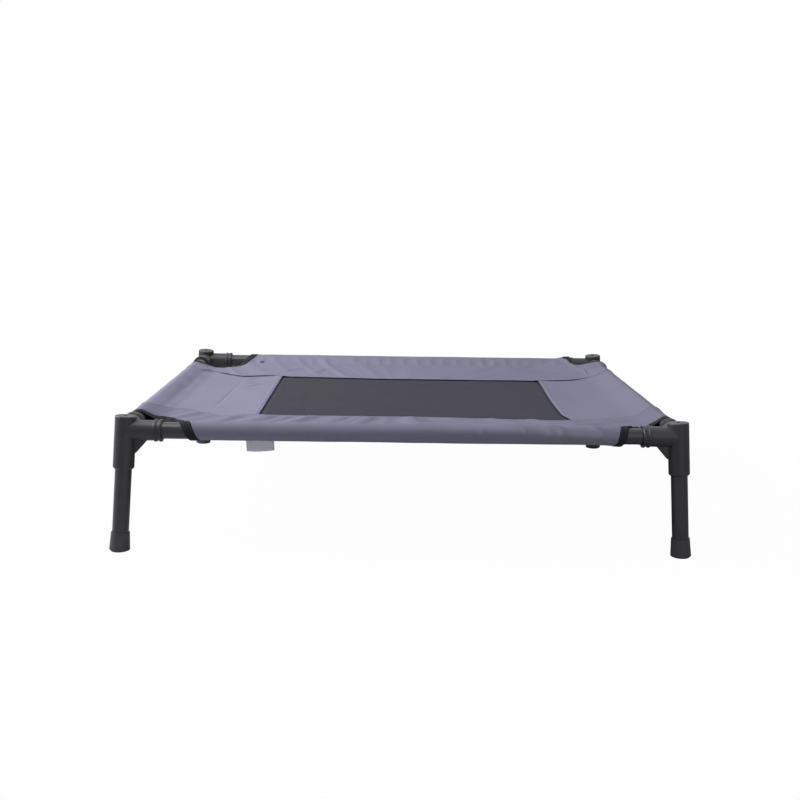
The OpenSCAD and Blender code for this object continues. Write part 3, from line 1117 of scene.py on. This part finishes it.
def make_binding(corner):
    """Edging tape folded over a cut-out's edge, as a cuff on each sleeve."""
    cloth = Pattern()
    path = tape_path(corner)
    inwards = path_inwards(path, corner)
    widths = [lerp(corner.tape_w, corner.cuff_w, ease((abs(v) - STITCH_Y) / FLANK)) for _, v in path]
    above, below = PANEL_LIFT + LAYER, PANEL_LIFT - LAYER
    columns = [i / TAPE_CELLS for i in range(TAPE_CELLS + 1)]
    section = [(share, 0, above) for share in reversed(columns)]
    section += [(0, -LAYER, PANEL_LIFT)]
    section += [(share, 0, below) for share in columns]

    def beside(back, share=0):
        """Places so far in from the edge, plus a share of the tape's width."""
        places = []
        for (u, v), inward, width in zip(path, inwards, widths):
            away = back + share * width
            places.append((u + inward[0] * away, v + inward[1] * away))
        return places

    cloth.patch([[(u, v, lift) for u, v in beside(back, share)] for share, back, lift in section])
    name = corner.name + "_binding"
    piece = cloth.make(name + "_tape", EDGING_TAPE)
    sew_on(piece, name)
    stitching = Stitching()
    for back in TAPE_ROWS:
        if back < corner.tape_w:
            stitching.row(beside(back), above)
    threads = stitching.make(name + "_stitching", TAPE_THREAD, "edging_tape")
    return [piece, threads]


def make_label():
    """A bare cloth tab, folded at its lower edge and sewn in behind the front sleeve."""
    low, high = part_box("care_label")
    depth = middle("care_label").y
    top = plain_point(middle("care_label").x, depth).z - LAYER
    points, flat = [], []
    rows = [i / LABEL_ROWS for i in range(LABEL_ROWS + 1)]
    layers = [(share, -LABEL_FOLD) for share in rows] + [(share, LABEL_FOLD) for share in reversed(rows)]
    for share, fold in layers:
        for i in range(LABEL_COLUMNS + 1):
            across = i / LABEL_COLUMNS
            arch = 4 * across * (1 - across)
            down = (top - low.z) * share
            down += share * (LABEL_TILT * (1 - 2 * across) + LABEL_DIP * arch)
            x = lerp(low.x, high.x, across) - LABEL_SKEW * (1 - share)
            points.append((x, depth + fold - LABEL_BOW * arch * share**2, top - down))
            flat.append((lerp(low.x, high.x, across), fold * down / LABEL_FOLD))
    wide = LABEL_COLUMNS + 1
    grid = [range(at, at + wide) for at in range(0, len(points), wide)]
    piece = mesh_piece("care_label_tab", points, quads(grid), LABEL_CLOTH, flat)
    thicken(piece, LABEL_T)
    sew_on(piece, "care_label")


# Camera


def make_camera():
    """The photograph's camera, turned as it was."""
    data = bpy.data.cameras.new("photo_camera")
    data.lens = CAMERA_LENS
    data.sensor_width = SENSOR_W
    camera = in_scene("photo_camera", data)
    turn = Matrix.Rotation(CAMERA_YAW, 3, "Z") @ Matrix.Rotation(math.pi / 2 - CAMERA_PITCH, 3, "X")
    turn = turn @ Matrix.Rotation(CAMERA_ROLL, 3, "Z")
    camera.matrix_world = Matrix.Translation(CAMERA_PLACE) @ turn.to_4x4()
    bpy.context.scene.camera = camera


# Studio

FLOOR_HALF = 4.0
FLOOR_GREY = (0.58, 0.58, 0.58, 1)

# Faint shadow: distances between which it fades out, and how clear the floor is nearer by
SHADOW_FADE = (0.6, 1.3)
SHADOW_CLEAR = 0.98

# Dim room, and the paler wall behind that glossy faces mirror, from one direction to another
ROOM_COLOUR = (0.97, 0.98, 1, 1)
ROOM_DIM = 0.03
WALL_TURN = (-0.3, 0.5)
WALL_LIGHT = (0.5, 1.1)
WHITE = (1, 1, 1, 1)

# Lamps: place, width and watts
LAMPS = {
    "overhead": ((-0.3, -0.35, 2.1), 1.2, 22),
    "front_fill": ((0.9, -1.8, 0.9), 1.6, 7),
    "left_key": ((-1.45, 0.05, 0.95), 0.8, 26),
}


def make_floor():
    """A pale floor that throws light back up and takes a faint shadow.

    The camera sees the background and the feet of pulled-out legs through it, and it is clear from below.
    """
    material, nodes = new_material("studio_floor")
    place = nodes.add("ShaderNodeTexCoord").outputs["Object"]
    far = nodes.add("ShaderNodeVectorMath", {0: place}, operation="LENGTH").outputs["Value"]
    fade = nodes.moved(far, *SHADOW_FADE, SHADOW_CLEAR, 1.0)
    path = nodes.add("ShaderNodeLightPath")
    paper = nodes.add("ShaderNodeBsdfDiffuse", {"Color": FLOOR_GREY})
    clear = nodes.add("ShaderNodeBsdfTransparent")
    share = nodes.math("MULTIPLY", fade, path.outputs["Is Camera Ray"])
    under = nodes.add("ShaderNodeNewGeometry").outputs["Backfacing"]
    for other in (path.outputs["Is Shadow Ray"], under):
        share = nodes.math("MAXIMUM", share, other)
    shown = nodes.add("ShaderNodeMixShader", {0: share, 1: paper.outputs[0], 2: clear.outputs[0]})
    nodes.add("ShaderNodeOutputMaterial", {"Surface": shown.outputs[0]})
    corners = [(x * FLOOR_HALF, y * FLOOR_HALF, 0) for x, y in ((-1, -1), (1, -1), (1, 1), (-1, 1))]
    floor = mesh_piece("floor", corners, [(0, 1, 2, 3)], material)


def make_world():
    """White behind the cot, a dim room round it, and a paler wall behind for the plastic to mirror."""
    world = bpy.data.worlds.new("studio_world")
    bpy.context.scene.world = world
    world.use_nodes = True
    nodes = Nodes(world.node_tree)
    path = nodes.add("ShaderNodeLightPath")
    mirrored = path.outputs["Is Glossy Ray"]
    towards = nodes.add("ShaderNodeTexCoord").outputs["Generated"]
    back = nodes.add("ShaderNodeSeparateXYZ", {"Vector": towards}).outputs["Y"]
    glossy = nodes.math("MULTIPLY", mirrored, nodes.moved(back, *WALL_TURN, *WALL_LIGHT))
    dim = nodes.math("MULTIPLY", nodes.math("SUBTRACT", 1.0, mirrored), ROOM_DIM)
    light = nodes.math("ADD", glossy, dim)
    room = nodes.add("ShaderNodeBackground", {"Color": ROOM_COLOUR, "Strength": light})
    seen = nodes.math("MAXIMUM", path.outputs["Is Camera Ray"], path.outputs["Is Transmission Ray"])
    white = nodes.add("ShaderNodeBackground", {"Color": WHITE, "Strength": 1.0})
    both = nodes.add("ShaderNodeMixShader", {0: seen, 1: room.outputs[0], 2: white.outputs[0]})
    nodes.add("ShaderNodeOutputWorld", {"Surface": both.outputs[0]})


def make_lamp(name, place, size, watts):
    data = bpy.data.lights.new(name, "AREA")
    data.shape = "SQUARE"
    data.size = size
    data.energy = watts
    lamp = in_scene(name, data)
    lamp.location = place
    target = Vector((0, 0, RAIL_Z))
    lamp.rotation_euler = (target - lamp.location).to_track_quat("-Z", "Y").to_euler()


make_camera()
make_world()
make_floor()
for lamp_name, lamp in LAMPS.items():
    make_lamp(lamp_name, *lamp)
bpy.context.scene.view_settings.view_transform = "Standard"

dress_frame()
make_mesh_panel()
make_end_panel("left_end_panel", -1)
make_end_panel("right_end_panel", 1)
for strip_name, strip_side_y in (("front_strip", -1), ("back_strip", 1)):
    strip_tapes = make_binding(CORNERS[-1, strip_side_y]) + make_binding(CORNERS[1, strip_side_y])
    make_strip(strip_name, strip_side_y, strip_tapes)
make_label()
